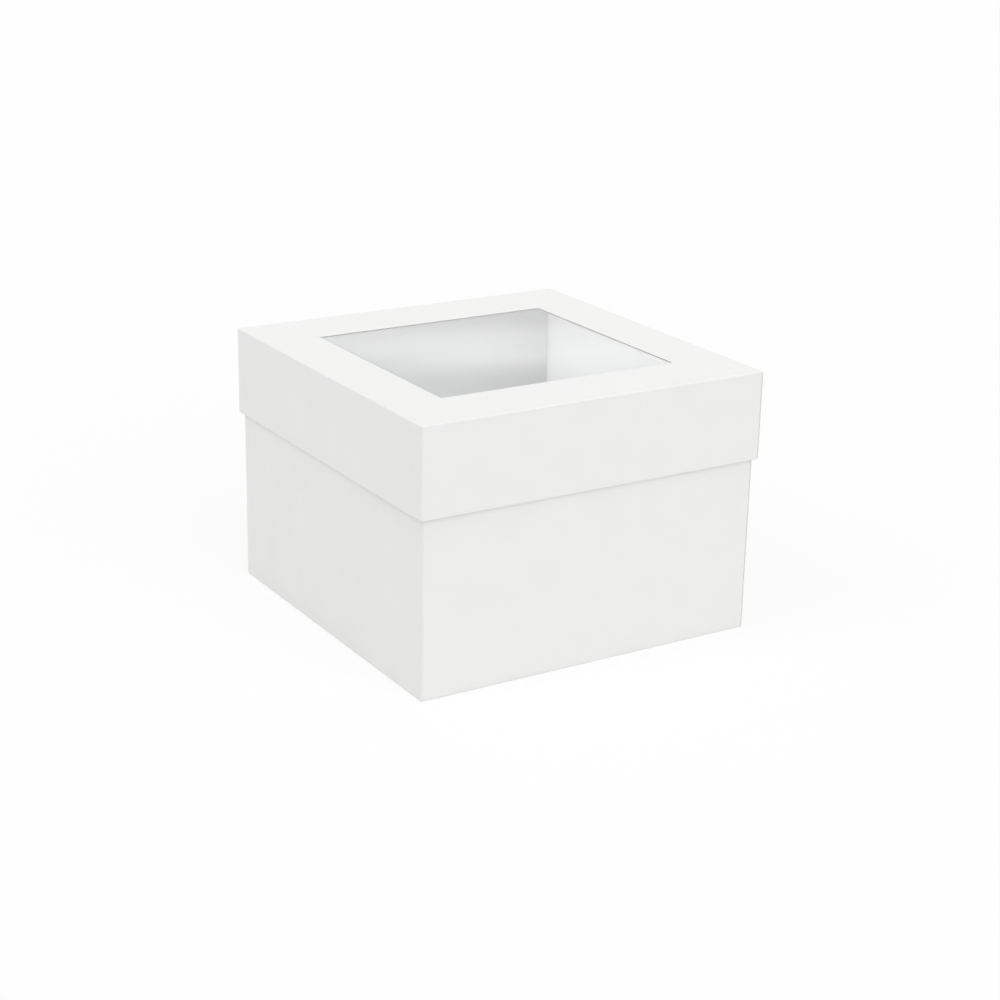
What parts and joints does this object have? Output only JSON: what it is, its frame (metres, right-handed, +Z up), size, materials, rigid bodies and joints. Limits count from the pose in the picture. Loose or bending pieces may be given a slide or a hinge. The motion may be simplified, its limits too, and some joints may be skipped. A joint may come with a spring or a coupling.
{
  "type": "window cake box",
  "caption": "Square white paperboard cake box: a deep tray with rolled double walls and a lift-off lid with deep skirts and a large square clear-film window.",
  "frame": {"origin": "middle of the tray's underside, where the box stands", "axes": "+Z up, -Y out of the front face, +X to the right as seen from the front"},
  "size_m": [0.2664, 0.2664, 0.1879],
  "materials": {
    "white_board": "matte",
    "dried_glue": "satin",
    "clear_film": "gloss"
  },
  "bodies": {
    "tray": {"tray_floor": "white_board", "tray_front_wall": "white_board", "tray_right_wall": "white_board", "tray_back_wall": "white_board", "tray_left_wall": "white_board", "tray_front_rolled_wall": "white_board", "tray_right_rolled_wall": "white_board", "tray_back_rolled_wall": "white_board", "tray_left_rolled_wall": "white_board", "tray_front_left_flap": "white_board", "tray_front_right_flap": "white_board", "tray_back_left_flap": "white_board", "tray_back_right_flap": "white_board"},
    "lid": {"lid_top": "white_board", "lid_front_wall": "white_board", "lid_right_wall": "white_board", "lid_back_wall": "white_board", "lid_left_wall": "white_board", "lid_front_rolled_wall": "white_board", "lid_right_rolled_wall": "white_board", "lid_back_rolled_wall": "white_board", "lid_left_rolled_wall": "white_board", "lid_front_left_flap": "white_board", "lid_front_right_flap": "white_board", "lid_back_left_flap": "white_board", "lid_back_right_flap": "white_board", "window_glue": "dried_glue", "window_film": "clear_film"}
  },
  "joints": [
    {"name": "lid_lift", "type": "slide", "parent": "tray", "child": "lid", "axis": [0, 0, 1], "range_m": [0, 0.15]}
  ]
}
